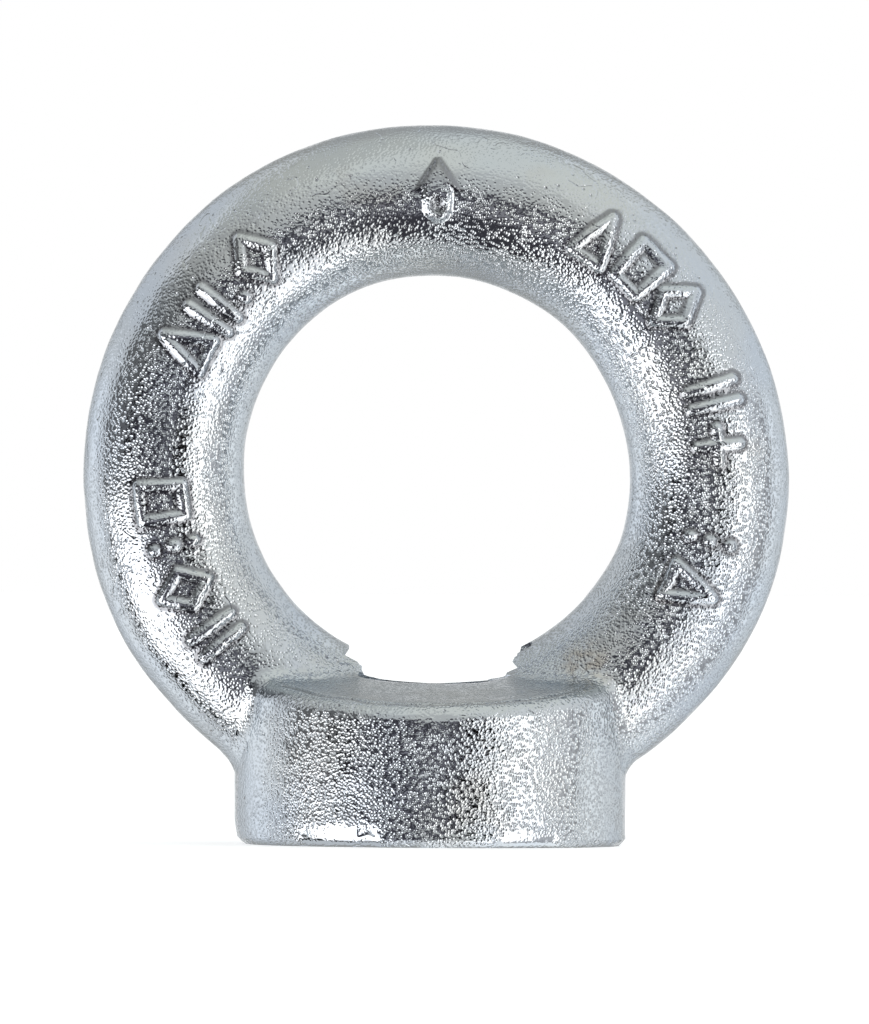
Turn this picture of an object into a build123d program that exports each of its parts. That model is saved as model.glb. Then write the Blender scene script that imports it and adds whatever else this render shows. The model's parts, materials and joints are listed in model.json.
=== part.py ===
"""Lifting eye nut, M20: one drop forging with a tapped hole that breaks through into the eye.

Frame: the origin is the centre of the seat face, on the thread's axis, with +Z up.
The ring stands in the XZ plane, which is also the parting plane of the forging dies.
"""
from build123d import *
from math import hypot, radians, tan
import os

# Ring: round bar all the way round the eye
eye_diameter = 39.6
section_diameter = 16.2

# Collar: the round foot that carries the thread
collar_diameter = 40.0
eye_floor_height = 18.2      # seat face to the lowest point of the eye
ridge_rise = 0.3             # ridge of the collar's top, above the floor of the eye
draft_angle = 12.0           # fall of the collar's top, away from the parting plane

# Forged and machined edges
leg_fillet_radius = 2.5      # where the ring's legs flow into the collar
rim_fillet_radius = 1.8      # around the collar's top
seat_edge_radius = 0.8       # around the seat face
facing_stock = 2.0           # forged below the seat face, then faced off

# Thread: metric coarse, drilled to its minor diameter
thread_diameter = 20.0
thread_pitch = 2.5
countersink_clearance = 1.0  # countersink's diameter, over the thread's

# Worked out from the sizes above
minor_diameter = thread_diameter - 1.0825 * thread_pitch
countersink_diameter = thread_diameter + countersink_clearance
mean_ring_radius = (eye_diameter + section_diameter) / 2
eye_centre_height = eye_floor_height + eye_diameter / 2
collar_radius = collar_diameter / 2
ridge_height = eye_floor_height + ridge_rise
eaves_height = ridge_height - collar_radius * tan(radians(draft_angle))

# Through the eye's centre, with its X pointing down, so that the ring starts and ends in the collar
foot_plane = Plane(origin=(0, 0, eye_centre_height), x_dir=(0, 0, -1), z_dir=(1, 0, 0))
eye_axis = Axis((0, 0, eye_centre_height), (0, 1, 0))


def is_outside_hole(edge):
    middle = edge @ 0.5
    return hypot(middle.X, middle.Y) > 0.51 * minor_diameter


with BuildPart() as lifting_eye_nut:
    # Collar blank: its top is a low roof, so that both die halves draw away from it
    with BuildSketch(Plane.YZ):
        with BuildLine():
            Polyline(
                (-collar_radius, -facing_stock),
                (collar_radius, -facing_stock),
                (collar_radius, eaves_height),
                (0, ridge_height),
                (-collar_radius, eaves_height),
                close=True,
            )
        make_face()
    extrude(amount=collar_radius, both=True)
    with BuildSketch(Plane.XY.offset(-facing_stock)):
        Circle(collar_radius)
    extrude(amount=ridge_height + facing_stock, mode=Mode.INTERSECT)

    # Collar's rim: the two curved edges where the roof meets the round wall
    roof_faces = faces().filter_by(GeomType.PLANE).sort_by(Axis.Z)[-2:]
    rim_edges = roof_faces.edges().filter_by(GeomType.LINE, reverse=True)
    fillet(rim_edges, radius=rim_fillet_radius)

    # Ring, running down through the collar: its round section has an eye half and an outer half
    with BuildSketch(foot_plane):
        with BuildLine():
            CenterArc((mean_ring_radius, 0), section_diameter / 2, start_angle=90, arc_size=180)
            CenterArc((mean_ring_radius, 0), section_diameter / 2, start_angle=270, arc_size=180)
        make_face()
    revolve(axis=eye_axis)

    # Seat face, turned flat and square to the thread, with its outer edge rounded
    split(bisect_by=Plane.XY, keep=Keep.TOP)
    seat_edge = edges().filter_by(GeomType.CIRCLE).group_by(Axis.Z)[0]
    fillet(seat_edge, radius=seat_edge_radius)

    # Thread's hole, open into the eye, with a 90 degree countersink at the seat
    with Locations(-Plane.XY):
        Hole(radius=minor_diameter / 2, depth=eye_centre_height)
    hole_edge = edges().filter_by(GeomType.CIRCLE).group_by(Axis.Z)[0].sort_by(SortBy.RADIUS)[0]
    chamfer(hole_edge, length=(countersink_diameter - minor_diameter) / 2)

    # Fillets of the ring's two legs, over the roof, the rim and the wall of the collar: all the
    # free-form edges but those of the hole's mouth in the eye
    leg_edges = edges().filter_by(GeomType.BSPLINE).filter_by(is_outside_hole)
    fillet(leg_edges, radius=leg_fillet_radius)

lifting_eye_nut.part.label = "lifting_eye_nut"
os.makedirs("parts", exist_ok=True)
export_step(lifting_eye_nut.part, "parts/lifting_eye_nut.step")
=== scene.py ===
import json
from math import cos, pi, radians, sin, tan

import bmesh
import bpy
import numpy as np
from mathutils import Matrix, Vector, noise


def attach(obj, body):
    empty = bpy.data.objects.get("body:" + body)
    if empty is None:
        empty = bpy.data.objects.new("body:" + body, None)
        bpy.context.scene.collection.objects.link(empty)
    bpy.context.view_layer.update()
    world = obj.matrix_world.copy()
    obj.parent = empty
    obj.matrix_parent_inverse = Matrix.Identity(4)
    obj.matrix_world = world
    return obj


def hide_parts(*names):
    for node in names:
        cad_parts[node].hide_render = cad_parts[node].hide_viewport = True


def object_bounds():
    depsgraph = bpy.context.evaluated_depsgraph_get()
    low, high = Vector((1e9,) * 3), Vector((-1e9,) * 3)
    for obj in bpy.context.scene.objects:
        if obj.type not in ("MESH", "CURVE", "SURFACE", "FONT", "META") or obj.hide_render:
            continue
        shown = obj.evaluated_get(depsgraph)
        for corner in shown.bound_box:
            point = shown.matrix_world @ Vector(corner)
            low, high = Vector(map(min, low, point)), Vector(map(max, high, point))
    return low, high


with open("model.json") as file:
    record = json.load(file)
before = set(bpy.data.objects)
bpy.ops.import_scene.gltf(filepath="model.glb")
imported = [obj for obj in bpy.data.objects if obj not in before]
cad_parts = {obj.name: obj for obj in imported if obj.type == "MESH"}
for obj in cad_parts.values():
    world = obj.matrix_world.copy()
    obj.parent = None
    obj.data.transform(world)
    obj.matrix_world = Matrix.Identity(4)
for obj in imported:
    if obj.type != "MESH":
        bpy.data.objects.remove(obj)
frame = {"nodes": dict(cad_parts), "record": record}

MM = 0.001

# ---------------------------------------------------------------- sizes from the frame
cad_low, cad_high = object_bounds()
mounts = {mount["name"]: mount for mount in frame["record"]["mounts"]}
eye_centre = np.array(mounts["eye"]["pos_m"])
eye_radius = mounts["eye"]["dims"]["r_mm"] * MM
minor_radius = mounts["thread"]["dims"]["r_mm"] * MM
ring_radius = cad_high.x                                # outside of the ring
mean_radius = (ring_radius + eye_radius) / 2
section_radius = (ring_radius - eye_radius) / 2
collar_radius = cad_high.y

# ---------------------------------------------------------------- mesh helpers


def mesh_points(mesh):
    flat = np.empty(len(mesh.vertices) * 3)
    mesh.vertices.foreach_get("co", flat)
    return flat.reshape(-1, 3)


def mesh_normals(mesh):
    flat = np.empty(len(mesh.vertices) * 3)
    mesh.vertices.foreach_get("normal", flat)
    return flat.reshape(-1, 3)


def set_points(mesh, points):
    mesh.vertices.foreach_set("co", points.astype(np.float32).ravel())
    mesh.update()


def note_on_points(mesh, name, values):
    """Keeps a number per point, which a material reads as an attribute."""
    mesh.attributes.new(name, "FLOAT", "POINT").data.foreach_set("value", values.astype(np.float32))


def new_object(name, mesh):
    made = bpy.data.objects.new(name, mesh)
    bpy.context.scene.collection.objects.link(made)
    return made


def apply_modifiers(obj):
    """Replaces the object's mesh by what its modifiers make of it."""
    depsgraph = bpy.context.evaluated_depsgraph_get()
    made = bpy.data.meshes.new_from_object(obj.evaluated_get(depsgraph))
    obj.modifiers.clear()
    obj.data = made
    return obj


# ---------------------------------------------------------------- places on the piece


def from_eye(points):
    """In the ring's plane: distance from the eye's centre, and angle anticlockwise from +X."""
    across = points[:, 0]
    up = points[:, 2] - eye_centre[2]
    return np.hypot(across, up), np.arctan2(up, across)


def from_axis(points):
    """Round the thread: distance from its axis, and angle anticlockwise from +X."""
    return np.hypot(points[:, 0], points[:, 1]), np.arctan2(points[:, 1], points[:, 0])


def turn_from(angle, degrees_at):
    """How far an angle lies past a place round a circle, between -pi and pi."""
    return (angle - radians(degrees_at) + pi) % (2 * pi) - pi


def smoothstep(low, high, value):
    t = np.clip((value - low) / (high - low), 0, 1)
    return t * t * (3 - 2 * t)


def between(rise, fall, value):
    """1 between two soft edges and 0 outside them. An edge is where it starts and where it ends."""
    return smoothstep(*rise, value) * (1 - smoothstep(*fall, value))


def bell(angle, degrees_at, half_width):
    """1 at a place round a circle, fading away over its half-width in degrees."""
    return np.exp(-(turn_from(angle, degrees_at) / radians(half_width)) ** 2)


def stretch(angle, middle, sides):
    """1 in the middle of a stretch round a circle. Its sides are where it starts and where it is full."""
    return smoothstep(*sides, np.degrees(np.abs(turn_from(angle, middle))))


def noise_at(points, size_mm, seed):
    """Smooth noise between about -1 and 1, with bumps of the given size. Each seed gives another noise."""
    shift = Vector((seed * 17.3, seed * 5.1, seed * 9.7))
    return np.array([noise.noise(Vector(point) + shift) for point in points / (size_mm * MM)])


# ---------------------------------------------------------------- the forging, evenly meshed

EVEN_MESH = 0.50 * MM
WELD = 0.0001 * MM
ON_SURFACE = 0.06 * MM        # how far the CAD's facets may lie off the true surface
TINY = 1e-9                   # keeps a division by a distance from failing at 0


def even_copy(node):
    """A closed, evenly meshed copy of a CAD node."""
    welded = bmesh.new()
    welded.from_mesh(frame["nodes"][node].data)
    bmesh.ops.remove_doubles(welded, verts=welded.verts, dist=WELD)
    target_mesh = bpy.data.meshes.new("target")
    welded.to_mesh(target_mesh)
    welded.free()
    target = new_object("target", target_mesh)
    piece = new_object(node + "_forging", target_mesh.copy())
    remesh = piece.modifiers.new("remesh", "REMESH")
    remesh.mode = "VOXEL"
    remesh.voxel_size = EVEN_MESH
    wrap = piece.modifiers.new("wrap", "SHRINKWRAP")
    wrap.target = target
    apply_modifiers(piece)
    bpy.data.objects.remove(target)
    return piece


def true_up(points):
    """Moves points on the ring and on the collar's wall from the CAD's facets to the true round surface.

    Returns the points, and which of them lie on the ring or the wall."""
    radius, angle = from_eye(points)
    out = radius - mean_radius
    off_centre = np.hypot(out, points[:, 1])
    on_ring = np.abs(off_centre - section_radius) < ON_SURFACE
    scale = np.where(on_ring, section_radius / np.maximum(off_centre, TINY), 1)
    true_radius = mean_radius + out * scale
    points = points.copy()
    points[:, 0] = np.where(on_ring, true_radius * np.cos(angle), points[:, 0])
    points[:, 2] = np.where(on_ring, eye_centre[2] + true_radius * np.sin(angle), points[:, 2])
    points[:, 1] *= scale
    off_axis = from_axis(points)[0]
    on_wall = (np.abs(off_axis - collar_radius) < ON_SURFACE) & ~on_ring
    scale = np.where(on_wall, collar_radius / np.maximum(off_axis, TINY), 1)
    points[:, 0] *= scale
    points[:, 1] *= scale
    return points, on_ring | on_wall


def relax(mesh, free, rounds):
    """Evens out the free points: in each round they move half way to the middle of their neighbours."""
    edges = np.empty(len(mesh.edges) * 2, int)
    mesh.edges.foreach_get("vertices", edges)
    a, b = edges.reshape(-1, 2).T
    points = mesh_points(mesh)
    count = np.bincount(np.concatenate([a, b]), minlength=len(points))[:, None]
    for _ in range(rounds):
        total = np.zeros_like(points)
        np.add.at(total, a, points[b])
        np.add.at(total, b, points[a])
        points = np.where(free[:, None], points + 0.5 * (total / count - points), points)
    set_points(mesh, points)


def refine_near(mesh, wanted):
    """Cuts each face that touches a wanted point into nine."""
    work = bmesh.new()
    work.from_mesh(mesh)
    work.verts.ensure_lookup_table()
    faces = {face for i in np.flatnonzero(wanted) for face in work.verts[i].link_faces}
    edges = list({edge for face in faces for edge in face.edges})
    bmesh.ops.subdivide_edges(work, edges=edges, cuts=2, use_grid_fill=True)
    work.to_mesh(mesh)
    work.free()


# ---------------------------------------------------------------- the forging's own unevenness
# Lobes are (height in mm, where it is in degrees anticlockwise from +X, its half-width in degrees).

OUTER_LOBES = [(-0.70, 55, 38), (-0.32, 93, 18), (-0.10, 135, 30), (0.30, -20, 16), (0.07, 0, 10),
               (0.25, 207, 18)]
INNER_LOBES = [(0.30, 112, 28), (-0.28, 22, 24), (0.18, -20, 14), (-0.25, 195, 40)]
CLEAR_OF_COLLAR = (12 * MM, 20 * MM)          # heights between which the lobes set in

COLLAR_WALL = ((11 * MM, 17 * MM), (20.3 * MM, 22.5 * MM))    # its soft edges, from the axis
DIE_MISMATCH = -0.42 * MM                     # how far the collar is off the hole, along X
MISMATCH_ENDS_LEFT = (9 * MM, 17 * MM)        # heights between which it fades out, on the -X side
MISMATCH_ENDS_RIGHT = (6.5 * MM, 10.5 * MM)
SIDES_MEET = (-10 * MM, 10 * MM)
WORN_CORNER = (0.55 * MM, 2.7 * MM, 180, 42)  # of the foot: how far in and up, middle, half-width in degrees
WORN_CURVE = 1.4
WALL_RIDGE = (0.16 * MM, -44, 8)              # upright and soft: height, middle, half-width in degrees

# Flats knocked on the foot's edge: middle and half-width in degrees round the collar, and height.
FOOT_FLATS = [(-119.0, 14.0, 2.1 * MM), (-60.0, 10.5, 1.6 * MM), (-96.0, 4.0, 0.8 * MM)]
FOOT_FLAT_SLOPE = 0.20
FOOT_FLAT_EDGE = (1.5, 0.25 * MM)             # how soft its sides are, in degrees, and its top
RAGGED_TOP = (0.25, 1.5)                      # how much of its height its top wanders, over what length in mm
FOOT_FLAT_REACH = 17 * MM                     # nothing nearer the axis is part of it

CREASE_DEPTH = 0.34 * MM
CREASE_AT = 18.5 * MM                         # how far the crease on the collar's roof is from the axis
CREASE_HALF_WIDTH = 0.21 * MM
CREASE_HALF_LENGTH = 15.5 * MM
CREASE_HEIGHTS = (13.6 * MM, 17 * MM)
CREASE_WANDER = (0.35 * MM, 3)                # how far it wanders, over what length in mm
CREASE_FADING = (0.6, 0.5, 4)                 # how deep it is, how much that changes, over what length in mm

WAVES = [(0.07, 9.0), (0.05, 3.5), (0.018, 1.4)]    # (height, size) in mm
OFF_SEAT = (0.2 * MM, 1.5 * MM)               # heights between which the waves set in
RING_MARGIN = 0.11 * MM                       # keeps the waves within the CAD's size
WALL_MARGIN = 0.06 * MM
WALL_MARGIN_FROM = (19 * MM, 19.8 * MM)       # distances from the axis
WALL_TOP = 15 * MM


def lobes(angle, places):
    return sum(height * MM * bell(angle, at, half_width) for height, at, half_width in places)


def foot_flat(points, middle, half_width, height):
    """How much each point lies on a flat: 1 well inside, 0 outside."""
    off_axis, round_collar = from_axis(points)
    side, top = FOOT_FLAT_EDGE
    inside = stretch(round_collar, middle, (half_width, half_width - side)) * (off_axis > FOOT_FLAT_REACH)
    wander, length = RAGGED_TOP
    ragged = height * (1 + wander * noise_at(points, length, seed=13))
    return inside * (1 - smoothstep(ragged - top, ragged, points[:, 2]))


def off_crease(points):
    """How far points on the front of the collar's roof are from its crease."""
    low, high = CREASE_HEIGHTS
    wander, length = CREASE_WANDER
    off = np.abs(from_axis(points)[0] - CREASE_AT - wander * noise_at(points, length, seed=14))
    on_roof = (points[:, 1] < 0) & (points[:, 2] > low) & (points[:, 2] < high)
    return np.where(on_roof & (np.abs(points[:, 0]) < CREASE_HALF_LENGTH), off, np.inf)


def in_crease(points):
    mean, change, length = CREASE_FADING
    fading = mean + change * noise_at(points, length, seed=15)
    return fading * np.exp(-(off_crease(points) / CREASE_HALF_WIDTH) ** 2)


def warp(points):
    """Bends the ring out of round, sets the collar off the hole, and wears and dents the foot's edge."""
    radius, angle = from_eye(points)
    across = np.clip((radius - mean_radius) / section_radius, -1, 1)
    lift = np.where(across > 0, lobes(angle, OUTER_LOBES), lobes(angle, INNER_LOBES))
    lift *= smoothstep(0, 1, np.abs(across)) * smoothstep(*CLEAR_OF_COLLAR, points[:, 2])

    off_axis, round_collar = from_axis(points)
    on_wall = between(*COLLAR_WALL, off_axis)
    to_right = smoothstep(*SIDES_MEET, points[:, 0])
    sides = zip(MISMATCH_ENDS_LEFT, MISMATCH_ENDS_RIGHT)
    starts, ends = [left + (right - left) * to_right for left, right in sides]
    shift = DIE_MISMATCH * on_wall * (1 - smoothstep(starts, ends, points[:, 2]))

    depth, height, middle, half_width = WORN_CORNER
    below = np.clip(1 - points[:, 2] / height, 0, 1)
    inward = depth * bell(round_collar, middle, half_width) * below ** WORN_CURVE
    height, middle, half_width = WALL_RIDGE
    inward -= height * bell(round_collar, middle, half_width)
    for middle, half_width, height in FOOT_FLATS:
        cut = FOOT_FLAT_SLOPE * np.clip(height - points[:, 2], 0, None)
        inward += cut * foot_flat(points, middle, half_width, height)
    inward *= on_wall / np.maximum(off_axis, TINY)

    points = points.copy()
    points[:, 0] += lift * np.cos(angle) + shift - inward * points[:, 0]
    points[:, 1] -= inward * points[:, 1]
    points[:, 2] += lift * np.sin(angle) - CREASE_DEPTH * in_crease(points)
    return points


def uneven(mesh):
    """Warps the forging and gives its surface soft waves."""
    points = warp(mesh_points(mesh))
    set_points(mesh, points)
    outward = mesh_normals(mesh)
    waves = sum(height * MM * noise_at(points, size, seed) for seed, (height, size) in enumerate(WAVES))
    outside = smoothstep(mean_radius, ring_radius, from_eye(points)[0])
    on_wall = smoothstep(*WALL_MARGIN_FROM, from_axis(points)[0]) * (points[:, 2] < WALL_TOP)
    margin = np.maximum(RING_MARGIN * outside, WALL_MARGIN * on_wall)
    off_seat = smoothstep(*OFF_SEAT, points[:, 2])
    set_points(mesh, points + outward * ((waves - margin) * off_seat)[:, None])


# ---------------------------------------------------------------- where the grain is rubbed or pressed smooth
# Each place says how much, from 0 to 1. Its edges are where they start and where they are full.

CROWN = (0.62, 100, (55, 33), (29.3 * MM, 30.3 * MM))    # middle and sides in degrees, distance from the eye
LOW_CORNER = (0.55, 215, (34, 20), (30.0 * MM, 31.0 * MM))
INNER_FLANK = (0.45, (23.2 * MM, 24.2 * MM), (26.2 * MM, 27.2 * MM))    # distances from the eye: in and out
OUTER_FLANK = (0.50, (32.8 * MM, 33.6 * MM), (14 * MM, 18 * MM))    # distance from the eye, and height
ROOF = (0.60, (13.2 * MM, 14.2 * MM), (20.2 * MM, 21 * MM))    # height, and distance from the axis
UNDER_EYE = ring_radius - 9 * MM         # what is further from the eye's centre can be the collar's roof
RING_WANDER = (0.5 * MM, 4)              # how far the places' edges wander, over what length in mm
ROOF_WANDER = (0.35 * MM, 3)


def rubbed_smooth(points):
    radius, angle = from_eye(points)
    wander, length = RING_WANDER
    out = radius + wander * noise_at(points, length, seed=11)
    much, middle, sides, edge = CROWN
    crown = much * stretch(angle, middle, sides) * smoothstep(*edge, out)
    much, middle, sides, edge = LOW_CORNER
    low_corner = much * stretch(angle, middle, sides) * smoothstep(*edge, out)
    much, inside, outside = INNER_FLANK
    flank = much * between(inside, outside, out)
    much, edge, heights = OUTER_FLANK
    rim = much * smoothstep(*edge, out) * smoothstep(*heights, points[:, 2])

    much, wall_ends, collar_ends = ROOF
    in_collar = (1 - smoothstep(*collar_ends, from_axis(points)[0])) * (points[:, 2] < eye_centre[2])
    wander, length = ROOF_WANDER
    up = points[:, 2] + wander * noise_at(points, length, seed=12)
    roof = much * in_collar * smoothstep(*wall_ends, up) * (radius > UNDER_EYE)
    flats = sum(foot_flat(points, *flat) for flat in FOOT_FLATS)
    return np.maximum.reduce([crown, low_corner, flank, rim, roof, np.minimum(flats, 1)])


# ---------------------------------------------------------------- raised marks on the ring's face
# Every mark is drawn in mm: first number along the ring, clockwise, second outward from the eye.

DIAMOND = [[(0, 2.6), (1.9, 0), (0, -2.6), (-1.9, 0), (0, 2.6)]]
TRIANGLE = [[(0, 2.5), (1.9, -2.3), (-1.9, -2.3), (0, 2.5)]]
BOX = [[(-1.7, -2.2), (1.7, -2.2), (1.7, 2.2), (-1.7, 2.2), (-1.7, -2.2)]]
BARS = [[(-1.0, -2.4), (-1.0, 2.4)], [(1.0, -2.4), (1.0, 2.4)]]
PLUS = [[(0, -2.1), (0, 2.1)], [(-1.7, 0), (1.7, 0)]]
PIP = [[(0, -0.1), (0, 0.1)]]
PIPS = [[(0, -2.2), (0, -2.0)], [(0, -0.1), (0, 0.1)], [(0, 2.0), (0, 2.2)]]

MARKS = [   # mark, its angle in degrees anticlockwise from +X, its distance from the eye's centre in mm
    (DIAMOND, 130.6, 28.3), (PIP, 138.0, 26.2), (BARS, 144.5, 27.8), (TRIANGLE, 153.7, 28.4),
    (BOX, 186.7, 28.0), (PIPS, 196.2, 27.6), (DIAMOND, 205.5, 28.1), (BARS, 217.0, 27.8),
    (TRIANGLE, 55.4, 28.8), (BOX, 45.0, 29.2), (DIAMOND, 35.0, 29.4),
    (BARS, 15.8, 29.1), (PLUS, 5.7, 28.8),
    (PIPS, -13.8, 28.7), (TRIANGLE, -24.3, 28.4),
]
STROKE_HALF_WIDTH = 0.80
STROKE_HEIGHT = 0.42
STROKE_SHINE = (0.65, (0.75, 1.05))      # how smooth a stroke is, and where that ends, in half-widths
STROKE_FOOT_SHADE = ((0.50, 0.80), (1.10, 1.40))    # the painted shade along a stroke's foot, in half-widths
STROKE_WOBBLE = (0.07, 1.2)              # how far its sides wander, and over what length
STROKE_RISES = (0.9, 0.2, 2.2)           # its height's mean, how much that changes, and over what length

# The arrow at the crown points outward: a head with a sloping side, on a short stem with a pit in it.
ARROW_RADIUS = 28.45                     # its barbs' distance from the eye's centre
ARROW_TIP = 3.85
ARROW_BLUNTED_AT = 3.45
ARROW_HALF_WIDTH = 2.6
ARROW_BEVEL = (-0.10, 0.75)              # where its side starts and ends, inside its outline
ARROW_HEIGHT = 0.45
ARROW_SHINE = ((-0.20, 0.0), (0.45, 0.70))    # where its side is smooth
ARROW_SIDE_SHADE = ((-0.15, 0.05), (0.60, 0.95))    # where its side has painted shade
SHADE_ON_TOP = 0.4                       # how much of the head's painted shade its flat top has
ARROW_ROUGH_TOP = (0.5, 0.7)             # inside this, nothing rubs the arrow smooth
STEM_RADIUS = 1.7
STEM_LENGTH = 1.6
PIT_RADIUS = 1.0
PIT_AT = 0.2                             # how far the pit is from the stem's end, towards the head
PIT_DEPTH = 0.5
PIT_WALL = (0.45, 1.0)                   # in pit radii
PIT_SHADE = (0.9, (0.6, 1.1))            # painted shade in the stem's pit: how much, and where it ends, in pit radii


def on_face(points, degrees_at, radius_mm):
    """Points in a mark's own mm: along the ring and outward."""
    radius, angle = from_eye(points)
    return -turn_from(angle, degrees_at) * radius_mm, radius / MM - radius_mm


def segment_distance(u, v, start, end):
    """How far points are from a straight line between two places."""
    du, dv = end[0] - start[0], end[1] - start[1]
    along = np.clip(((u - start[0]) * du + (v - start[1]) * dv) / (du * du + dv * dv), 0, 1)
    return np.hypot(u - start[0] - along * du, v - start[1] - along * dv)


def stroke_distance(points):
    """How far each point is from the nearest stroke, in mm."""
    nearest = np.full(len(points), np.inf)
    for strokes, degrees_at, radius_mm in MARKS:
        u, v = on_face(points, degrees_at, radius_mm)
        for stroke in strokes:
            for start, end in zip(stroke, stroke[1:]):
                nearest = np.minimum(nearest, segment_distance(u, v, start, end))
    return np.where(points[:, 1] < 0, nearest, np.inf)


def arrow_depth(points):
    """How deep each point lies inside the arrow's outline, how far it is from its pit's middle, both in mm,
    and whether it is on its head."""
    u, v = on_face(points, 90, ARROW_RADIUS)
    slope = np.hypot(ARROW_TIP, ARROW_HALF_WIDTH)
    flank = ((ARROW_TIP - v) * ARROW_HALF_WIDTH - np.abs(u) * ARROW_TIP) / slope
    head = np.minimum.reduce([flank, v, ARROW_BLUNTED_AT - v])
    stem = STEM_RADIUS - segment_distance(u, v, (0, 0), (0, -STEM_LENGTH))
    depth = np.where(points[:, 1] < 0, np.maximum(head, stem), -np.inf)
    return depth, np.hypot(u, v + STEM_LENGTH - PIT_AT), head > stem


def raise_marks(mesh):
    """Raises the marks, and notes on the points where the metal is worn smooth and where shade is painted on
    it.
    """
    points = mesh_points(mesh)
    wobble, length = STROKE_WOBBLE
    from_stroke = (stroke_distance(points) + wobble * noise_at(points, length, seed=7)) / STROKE_HALF_WIDTH
    mean, change, length = STROKE_RISES
    uneven_height = STROKE_HEIGHT * (mean + change * noise_at(points, length, seed=9))
    ridge = uneven_height * (1 - np.clip(from_stroke, 0, 1) ** 2) ** 2
    depth, from_pit, on_head = arrow_depth(points)
    in_pit_radii = from_pit / PIT_RADIUS
    plateau = ARROW_HEIGHT * smoothstep(*ARROW_BEVEL, depth)
    pit = PIT_DEPTH * (1 - smoothstep(*PIT_WALL, in_pit_radii)) * (depth > 0)
    lift = np.maximum(ridge, plateau) - pit
    set_points(mesh, points + mesh_normals(mesh) * lift[:, None] * MM)

    # painted shade: darkening along the arrow head's side and over its top, in the stem's pit, at the
    # strokes' foot and in the crease
    arrow_side, arrow_top = ARROW_SIDE_SHADE
    head = smoothstep(*arrow_side, depth) * (1 - (1 - SHADE_ON_TOP) * smoothstep(*arrow_top, depth)) * on_head
    much, pit_ends = PIT_SHADE
    shaded_pit = much * (1 - smoothstep(*pit_ends, in_pit_radii)) * (depth > 0)
    beside_stroke = between(*STROKE_FOOT_SHADE, from_stroke)
    note_on_points(mesh, "painted_shade", np.maximum.reduce([beside_stroke, head, shaded_pit, in_crease(points)]))

    much, stroke_ends = STROKE_SHINE
    smooth_stroke = much * (1 - smoothstep(*stroke_ends, from_stroke))
    rubbed = rubbed_smooth(points) * (1 - smoothstep(*ARROW_ROUGH_TOP, depth))
    note_on_points(mesh, "worn", np.maximum.reduce([smooth_stroke, between(*ARROW_SHINE, depth), rubbed]))


# ---------------------------------------------------------------- thread

THREAD_PITCH = 2.5 * MM
MAJOR_RADIUS = 10.02 * MM
CORE_RADIUS = minor_radius + 0.035 * MM    # the tap's core takes a thin skin off the hole's wall
FLANK_ANGLE = radians(30)
ROOT_HALF = THREAD_PITCH / 16
GROOVE_AT_X = 18.05 * MM      # height of a groove's middle on the +X side
TURNS_BELOW = 9               # turns of the tap below that groove
TURNS = 11
TAP_STEPS = 144


def tap():
    """A right-hand tap as a closed mesh: rows of points run along the helix, and fans close both ends."""
    flank = (MAJOR_RADIUS - CORE_RADIUS) * tan(FLANK_ANGLE)
    knots = [(-THREAD_PITCH / 2, CORE_RADIUS), (-ROOT_HALF - flank, CORE_RADIUS), (-ROOT_HALF, MAJOR_RADIUS),
             (ROOT_HALF, MAJOR_RADIUS), (ROOT_HALF + flank, CORE_RADIUS)]
    start = GROOVE_AT_X - TURNS_BELOW * THREAD_PITCH
    rows = [(start + turn * THREAD_PITCH + rise, radius) for turn in range(TURNS) for rise, radius in knots]
    verts = []
    for rise, radius in rows:
        for step in range(TAP_STEPS):
            angle = 2 * pi * step / TAP_STEPS
            verts.append((radius * cos(angle), radius * sin(angle), rise + THREAD_PITCH * step / TAP_STEPS))

    def at(row, step):
        """The point at a step along a row; past a full turn it is on the row one pitch higher."""
        return (row + len(knots) * (step // TAP_STEPS)) * TAP_STEPS + step % TAP_STEPS

    last = len(rows) - len(knots) - 1
    faces = []
    for row in range(last):
        for step in range(TAP_STEPS):
            faces.append((at(row, step), at(row, step + 1), at(row + 1, step + 1), at(row + 1, step)))
    bottom, top = len(verts), len(verts) + 1
    verts += [(0, 0, rows[0][0]), (0, 0, rows[last][0] + THREAD_PITCH)]
    low_rim = [at(0, step) for step in range(TAP_STEPS)]
    low_rim += [at(row, 0) for row in range(len(knots), 0, -1)]
    high_rim = [at(last, step) for step in range(TAP_STEPS)]
    high_rim += [at(row, 0) for row in range(last + len(knots), last, -1)]
    for here, there in zip(low_rim, low_rim[1:] + low_rim[:1]):
        faces.append((bottom, there, here))
    for here, there in zip(high_rim, high_rim[1:] + high_rim[:1]):
        faces.append((top, here, there))
    return new_object("tap", closed_mesh("tap", verts, faces))


def closed_mesh(name, verts, faces):
    """A mesh with no loose points, and with its faces turned outward."""
    mesh = bpy.data.meshes.new(name)
    mesh.from_pydata(verts, [], faces)
    work = bmesh.new()
    work.from_mesh(mesh)
    loose = [v for v in work.verts if not v.link_faces]
    bmesh.ops.delete(work, geom=loose, context="VERTS")
    bmesh.ops.recalc_face_normals(work, faces=work.faces)
    work.to_mesh(mesh)
    work.free()
    return mesh


def cut_thread(piece):
    cutter = tap()
    cut = piece.modifiers.new("thread", "BOOLEAN")
    cut.operation = "DIFFERENCE"
    cut.object = cutter
    cut.solver = "MANIFOLD"
    apply_modifiers(piece)
    bpy.data.objects.remove(cutter)


# ---------------------------------------------------------------- node helpers


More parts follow.
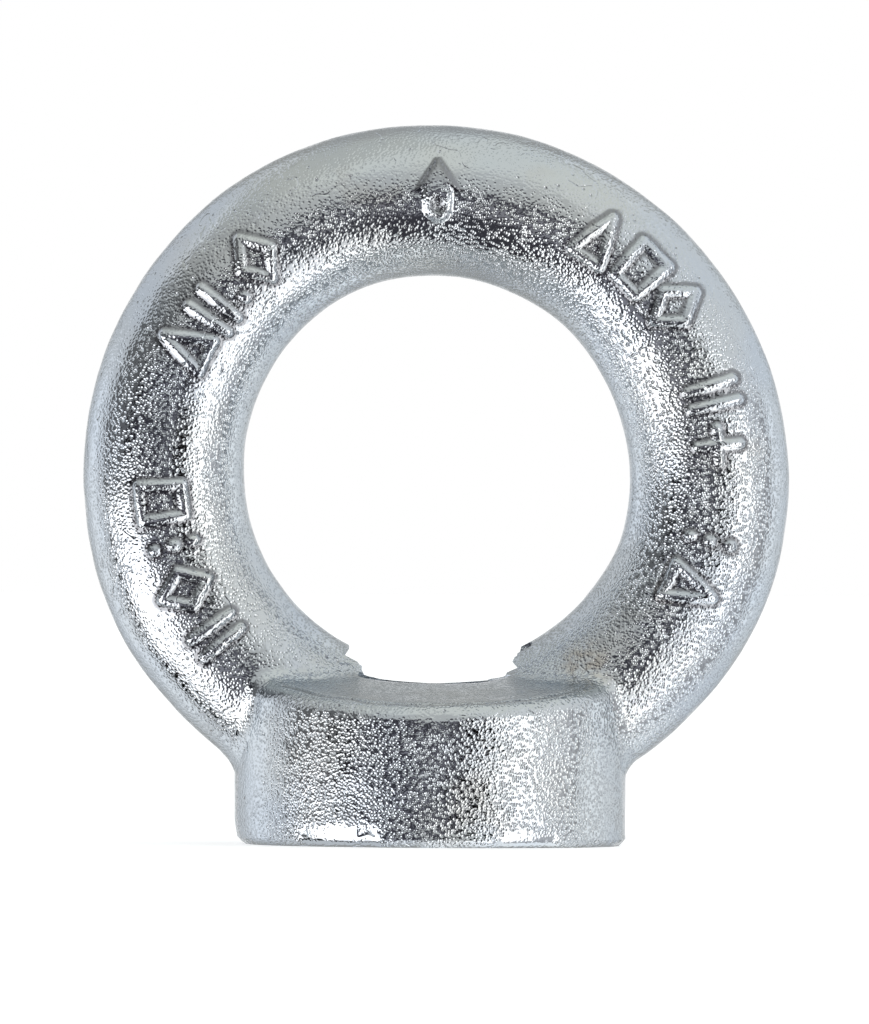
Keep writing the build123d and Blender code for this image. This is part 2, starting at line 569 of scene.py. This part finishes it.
class Graph:
    """Short calls for building the nodes of a material or of the world."""

    def __init__(self, tree):
        self.nodes, self.links = tree.nodes, tree.links

    def put(self, value, socket):
        """Sets a socket to a number, a vector or a colour, or links it to another node's output."""
        if isinstance(value, bpy.types.NodeSocket):
            self.links.new(value, socket)
        else:
            socket.default_value = value

    def node(self, kind, operation=None, **inputs):
        """A new node. Inputs are named as Blender names them, in lower case with _ for a space."""
        made = self.nodes.new(kind)
        if operation:
            made.operation = operation
        for name, value in inputs.items():
            self.put(value, made.inputs[name.replace("_", " ").title()])
        return made

    def math(self, operation, *values):
        made = self.node("ShaderNodeMath", operation)
        for value, socket in zip(values, made.inputs):
            self.put(value, socket)
        return made.outputs[0]

    def spread(self, value, start, end, to_start=0.0, to_end=1.0, smooth=False):
        """Takes start..end to to_start..to_end, and holds the value beyond them."""
        made = self.node("ShaderNodeMapRange", value=value, from_min=start, from_max=end,
                         to_min=to_start, to_max=to_end)
        made.interpolation_type = "SMOOTHSTEP" if smooth else "LINEAR"
        return made.outputs["Result"]

    def blend(self, factor, first, second):
        """Mixes two colours."""
        made = self.node("ShaderNodeMix")
        made.data_type = "RGBA"
        for value, socket in zip((factor, first, second), (made.inputs[0], made.inputs[6], made.inputs[7])):
            self.put((*value, 1) if isinstance(value, tuple) else value, socket)
        return made.outputs[2]

    def noise(self, place, size_mm, detail=0.0):
        made = self.node("ShaderNodeTexNoise", scale=1 / (size_mm * MM), detail=detail, vector=place)
        return made.outputs["Fac"]

    def patches(self, place, texture, to_start=0.0, to_end=1.0):
        """Soft patches: a noise, and the range of it that goes from to_start to to_end."""
        size_mm, detail, start, end = texture
        return self.spread(self.noise(place, size_mm, detail), start, end, to_start, to_end)

    def cells(self, place, size_mm):
        """How far each place is from the middle of its cell, in cells."""
        made = self.node("ShaderNodeTexVoronoi", scale=1 / (size_mm * MM), vector=place)
        return made.outputs["Distance"]

    def point_value(self, name):
        """A number noted on the mesh's points."""
        made = self.node("ShaderNodeAttribute")
        made.attribute_name = name
        return made.outputs["Fac"]


# ---------------------------------------------------------------- material
# Sizes and heights of the textures are in mm. Patches are (size, detail, and the range of their noise).

BLUISH, GREENISH = (0.592, 0.630, 0.672), (0.626, 0.644, 0.646)    # the plating's two tints
TINT_PATCHES = (11, 3, 0.35, 0.65)
GRAZING_TINT = (0.88, 0.90, 0.92, 1)
PAINTED_SHADE = (0.80, (0.20, 0.20, 0.21))            # painted shade beside the marks, in the crease and pit, and on the arrow's head: how much, and its colour
SPECK = (0.7, (0.24, 0.24, 0.25))            # in a pit's middle
SPECK_PATCHES = (5, 2, 0.45, 0.60)
STAIN = (0.50, 0.43, 0.34)
STAIN_AT = (15.5 * MM, -6.5 * MM, 18.0 * MM)    # at the foot of one leg
STAIN_REACH = (1.2 * MM, 3.6 * MM)
STAIN_SPOTS, STAIN_SHARE = (1.6, 3, 0.42, 0.62), (0.1, 0.75)
FAINT_STAINS, FAINT_SHARE = (7, 4, 0.62, 0.75), 0.2
ROUGHNESS_PATCHES, ROUGHNESS = (2.8, 3, 0.3, 0.7), (0.05, 0.12)

DIMPLE_SPACING = 0.34
DIMPLE = (0.65, 0.068)                       # where it ends, in spacings, and its depth
RIPPLE = (0.42, 0.06)                        # size and height
WORN_GRAIN = 0.3                             # what wear leaves of the grain
GRAIN_PATCHES, GRAIN_DEPTH = (5, 1, 0.38, 0.62), (0.84, 1.12)
LEFT_TO_RIGHT = ((-30 * MM, 30 * MM), (0.86, 1.20))    # the blast struck deeper on one side
SCRATCH_CURVES = (6, 2)                      # a noise's size and detail: a scratch runs where it is a half
SCRATCH = (0.012, 0.09)                      # half-width, as a range of that noise, and depth
SCRATCHED_PATCHES = (2.3, 1, 0.48, 0.56)
PIT_SPACING = 1.5
PIT = ((0.03, 0.16), 0.11)                   # its wall, in spacings, and its depth
PIT_SPECK = (0.05, 0.12)


def zinc_colour(graph, place, pits):
    """Blue-passivated zinc with painted shade beside the marks, in the crease and the arrow's pit and on its
    head, dark specks in some pits, and stains.
    """
    tint = graph.blend(graph.patches(place, TINT_PATCHES), BLUISH, GREENISH)
    # painted shade: the tint darkened towards dark grey where the points note it
    much, colour = PAINTED_SHADE
    tint_with_painted_shade = graph.blend(graph.math("MULTIPLY", graph.point_value("painted_shade"), much), tint, colour)
    much, colour = SPECK
    in_pits = graph.spread(pits, *PIT_SPECK, much, 0.0)
    specks = graph.math("MULTIPLY", in_pits, graph.patches(place, SPECK_PATCHES))
    specked = graph.blend(specks, tint_with_painted_shade, colour)
    away = graph.node("ShaderNodeVectorMath", "DISTANCE")
    graph.put(place, away.inputs[0])
    graph.put(STAIN_AT, away.inputs[1])
    near_stain = graph.spread(away.outputs["Value"], *STAIN_REACH, 1.0, 0.0)
    spots = graph.math("MULTIPLY", near_stain, graph.patches(place, STAIN_SPOTS, *STAIN_SHARE))
    faint = graph.math("MULTIPLY", graph.patches(place, FAINT_STAINS), FAINT_SHARE)
    return graph.blend(graph.math("MAXIMUM", faint, spots), specked, STAIN)


def zinc_height(graph, place, pits):
    """The blasted grain, rubbed down where the metal is worn, with scratches there and small pits."""
    worn = graph.point_value("worn")
    dimple_end, depth = DIMPLE
    dimples = graph.spread(graph.cells(place, DIMPLE_SPACING), 0.0, dimple_end, -depth, 0.0, smooth=True)
    size, height = RIPPLE
    grain = graph.math("ADD", dimples, graph.math("MULTIPLY", graph.noise(place, size, 1), height))
    patchy = graph.patches(place, GRAIN_PATCHES, *GRAIN_DEPTH)
    across = graph.node("ShaderNodeSeparateXYZ", vector=place).outputs["X"]
    left_and_right, how_deep = LEFT_TO_RIGHT
    coarser = graph.spread(across, *left_and_right, *how_deep)
    left_by_wear = graph.spread(worn, 0, 1, 1.0, WORN_GRAIN)
    depth_here = graph.math("MULTIPLY", patchy, coarser)
    grain = graph.math("MULTIPLY", graph.math("MULTIPLY", grain, left_by_wear), depth_here)

    half_width, depth = SCRATCH
    off_line = graph.math("ABSOLUTE", graph.math("SUBTRACT", graph.noise(place, *SCRATCH_CURVES), 0.5))
    scratched = graph.math("MULTIPLY", graph.patches(place, SCRATCHED_PATCHES), worn)
    scratches = graph.math("MULTIPLY", graph.spread(off_line, 0.0, half_width, -depth, 0.0), scratched)
    wall, depth = PIT
    pitted = graph.spread(pits, *wall, -depth, 0.0, smooth=True)
    return graph.math("ADD", graph.math("ADD", grain, scratches), pitted)


def zinc():
    """Zinc plating over a shot-blasted forging."""
    material = bpy.data.materials.new("zinc_plated_steel")
    material.use_nodes = True
    graph = Graph(material.node_tree)
    shader = graph.nodes["Principled BSDF"]
    shader.inputs["Metallic"].default_value = 1.0
    shader.inputs["Specular Tint"].default_value = GRAZING_TINT
    place = graph.node("ShaderNodeTexCoord").outputs["Object"]
    pits = graph.cells(place, PIT_SPACING)
    graph.put(zinc_colour(graph, place, pits), shader.inputs["Base Color"])
    graph.put(graph.patches(place, ROUGHNESS_PATCHES, *ROUGHNESS), shader.inputs["Roughness"])
    bump = graph.node("ShaderNodeBump", distance=1.0 * MM, height=zinc_height(graph, place, pits))
    graph.put(bump.outputs["Normal"], shader.inputs["Normal"])
    return material


# ---------------------------------------------------------------- studio
# Panels of light all round, by direction. Azimuth 0 is towards the camera and grows to its right, elevation
# grows upward, and both are in degrees. Each panel has a soft edge, and its light adds to the others'.

PANELS = {   # left, right, bottom, top, softness, brightness, colour
    "behind_right": (158, 200, -100, 50, 6, 0.47, (0.99, 1.0, 0.98)),
    "behind_left": (-200, -158, -100, 50, 6, 0.47, (0.99, 1.0, 0.98)),
    "backdrop_right": (104, 158, -100, 50, 4, 0.86, (0.95, 1.0, 1.05)),
    "backdrop_left": (-158, -95, -20, 50, 3, 0.75, (0.96, 1.0, 1.05)),
    "backdrop_low_left": (-158, -101, -100, -20, 3, 0.75, (0.96, 1.0, 1.05)),
    "rim_light_right": (106, 124, -30, 14, 4, 0.35, (0.95, 1.0, 1.05)),
    "rim_light_left": (-135, -112, -42, 14, 4, 0.42, (0.94, 1.0, 1.07)),
    "overhead_left": (-200, -50, 50, 100, 8, 0.64, (0.97, 1.01, 0.98)),
    "overhead": (-50, 200, 50, 100, 8, 0.86, (0.97, 1.01, 0.98)),
    "upper_left": (-98, -38, 14, 32, 5, 0.16, (0.97, 1.0, 1.03)),
    "top_left": (-98, -38, 32, 50, 5, 0.48, (0.97, 1.0, 1.01)),
    "front_high": (-38, 35, 14, 50, 6, 0.64, (0.97, 1.0, 1.0)),
    "upper_right": (35, 104, 14, 50, 6, 0.88, (0.97, 1.0, 1.02)),
    "left_strip": (-98, -58, -4, 14, 5, 0.16, (0.98, 1.0, 1.04)),
    "left_box": (-87, -31, -37, -4, 4, 2.20, (1.0, 1.0, 1.02)),
    "left_box_foot": (-75, -40, -50, -37, 4, 2.20, (1.0, 1.0, 1.02)),
    "low_left": (-86, -46, -64, -50, 5, 0.80, (0.98, 1.0, 1.03)),
    "front_low": (-34, 16, -68, -4, 4, 0.05, (1.0, 1.0, 1.25)),
    "front": (-48, 12, -4, 15, 4, 0.05, (1.0, 1.0, 1.25)),
    "camera_side": (-29, 3, -24, -4, 4, 0.24, (1.0, 1.0, 1.1)),
    "front_centre": (2, 16, -4, 15, 4, 0.12, (1.0, 1.0, 1.1)),
    "front_right": (19, 38, -64, -8, 5, 1.10, (1.0, 1.0, 1.02)),
    "right_box": (38, 67, -64, 14, 5, 2.10, (1.0, 1.0, 1.0)),
    "right_strip": (67, 88, -64, 14, 5, 0.60, (0.98, 1.0, 1.05)),
    "right_edge": (88, 104, -64, 14, 5, 0.40, (0.98, 1.0, 1.05)),
    "table_left": (-98, 8, -100, -72, 6, 1.02, (0.98, 1.0, 1.03)),
    "table_right": (8, 104, -100, -64, 6, 1.35, (0.98, 1.0, 1.02)),
    "table_behind": (104, 190, -100, -45, 8, 0.42, (0.98, 1.0, 1.0)),
}
STRAIGHT_BEHIND = (cos(radians(14)), 0.015)    # within 14 degrees of +Y, as a cosine, and its soft edge


def studio():
    """The panels light the object and shine in it. The backdrop is white, all round for the camera and
    straight behind the object for the metal."""
    world = bpy.data.worlds.new("studio")
    bpy.context.scene.world = world
    world.use_nodes = True
    graph = Graph(world.node_tree)
    direction = graph.node("ShaderNodeTexCoord").outputs["Generated"]
    split = graph.node("ShaderNodeSeparateXYZ", vector=direction)
    towards_camera = graph.math("MULTIPLY", split.outputs["Y"], -1.0)
    azimuth = graph.math("DEGREES", graph.math("ARCTAN2", split.outputs["X"], towards_camera))
    elevation = graph.math("DEGREES", graph.math("ARCSINE", split.outputs["Z"]))

    def past(value, edge, softness):
        """From 0 before the edge to 1 beyond it."""
        return graph.spread(value, edge - softness, edge + softness, smooth=True)

    def within(value, low, high, softness):
        return graph.math("SUBTRACT", past(value, low, softness), past(value, high, softness))

    light = (0.0, 0.0, 0.0)
    for left, right, bottom, top, softness, brightness, colour in PANELS.values():
        across = within(azimuth, left, right, softness)
        upward = within(elevation, bottom, top, softness)
        add = graph.node("ShaderNodeVectorMath", "MULTIPLY_ADD")
        graph.put(graph.math("MULTIPLY", across, upward), add.inputs[0])
        graph.put(tuple(brightness * part for part in colour), add.inputs[1])
        graph.put(light, add.inputs[2])
        light = add.outputs[0]

    ray = graph.node("ShaderNodeLightPath").outputs
    in_metal = graph.math("MULTIPLY", ray["Is Glossy Ray"], past(split.outputs["Y"], *STRAIGHT_BEHIND))
    seen_directly = graph.math("MAXIMUM", ray["Is Camera Ray"], ray["Is Transmission Ray"])
    backdrop = graph.math("MAXIMUM", seen_directly, in_metal)
    graph.put(graph.blend(backdrop, light, (1, 1, 1)), graph.nodes["Background"].inputs["Color"])


FLOOR_HALF = 6.0
FLOOR_COLOUR = (0.8, 0.8, 0.8, 1)
FLOOR_GLOW = 0.55          # with the studio's light on it, this brings the floor to white


def floor():
    """A white floor that takes the object's shadow. The metal sees the studio's panels through it."""
    mesh = bpy.data.meshes.new("floor")
    half = FLOOR_HALF
    corners = [(-half, -half, 0), (half, -half, 0), (half, half, 0), (-half, half, 0)]
    mesh.from_pydata(corners, [], [(0, 1, 2, 3)])
    plane = new_object("floor", mesh)
    material = bpy.data.materials.new("white_floor")
    material.use_nodes = True
    graph = Graph(material.node_tree)
    shader = graph.nodes["Principled BSDF"]
    shader.inputs["Base Color"].default_value = FLOOR_COLOUR
    shader.inputs["Roughness"].default_value = 0.9
    shader.inputs["Emission Color"].default_value = (1, 1, 1, 1)
    shader.inputs["Emission Strength"].default_value = FLOOR_GLOW
    mix = graph.node("ShaderNodeMixShader")
    graph.put(graph.node("ShaderNodeLightPath").outputs["Is Glossy Ray"], mix.inputs[0])
    graph.put(shader.outputs[0], mix.inputs[1])
    graph.put(graph.node("ShaderNodeBsdfTransparent").outputs[0], mix.inputs[2])
    graph.put(mix.outputs[0], graph.nodes["Material Output"].inputs["Surface"])
    mesh.materials.append(material)


# ---------------------------------------------------------------- camera

CAMERA_DISTANCE = 2.0
FRAME_HEIGHT = 104.28 * MM     # what the picture's long side takes in at the ring
AIM = Vector((-0.13 * MM, 0, 33.9 * MM))
ROLL = radians(0.36)


def camera():
    data = bpy.data.cameras.new("camera")
    data.sensor_width = 36
    data.lens = data.sensor_width * CAMERA_DISTANCE / FRAME_HEIGHT
    data.clip_end = 20
    made = new_object("camera", data)
    made.matrix_world = (Matrix.Translation(AIM + Vector((0, -CAMERA_DISTANCE, 0)))
                         @ Matrix.Rotation(radians(90), 4, "X") @ Matrix.Rotation(ROLL, 4, "Z"))
    bpy.context.scene.camera = made


# ---------------------------------------------------------------- the piece

SEAT_THICKNESS = 0.02 * MM     # points lower than this are on the seat
HOLE_MARGIN = (2 * MM, 10 * MM)    # round the hole, and up from the seat
FINE_ROUND_STROKES = 0.3       # how far the fine mesh reaches past a stroke, in mm
FINE_ROUND_ARROW = 0.8         # and to both sides of the arrow's outline, in mm
FINE_ROUND_CREASE = 0.7 * MM
SHARP_FROM = radians(38)       # edges that turn less are shaded smooth


def forging():
    piece = even_copy("lifting_eye_nut")
    mesh = piece.data
    points, exact = true_up(mesh_points(mesh))
    set_points(mesh, points)
    seat = points[:, 2] < SEAT_THICKNESS
    round_hole, up_hole = HOLE_MARGIN
    in_hole = (from_axis(points)[0] < minor_radius + round_hole) & (points[:, 2] < up_hole)
    relax(mesh, ~(exact | seat | in_hole), rounds=6)

    points = mesh_points(mesh)
    near_stroke = stroke_distance(points) < STROKE_HALF_WIDTH + FINE_ROUND_STROKES
    near_arrow = np.abs(arrow_depth(points)[0]) < FINE_ROUND_ARROW
    near_crease = off_crease(points) < FINE_ROUND_CREASE
    refine_near(mesh, near_stroke | near_arrow | near_crease)
    set_points(mesh, true_up(mesh_points(mesh))[0])
    uneven(mesh)
    raise_marks(mesh)
    cut_thread(piece)

    piece.data.shade_smooth()
    piece.data.set_sharp_from_angle(angle=SHARP_FROM)
    piece.data.materials.clear()
    piece.data.materials.append(zinc())
    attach(piece, "root")
    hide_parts("lifting_eye_nut")


forging()
studio()
floor()
camera()
bpy.context.scene.view_settings.view_transform = "Standard"
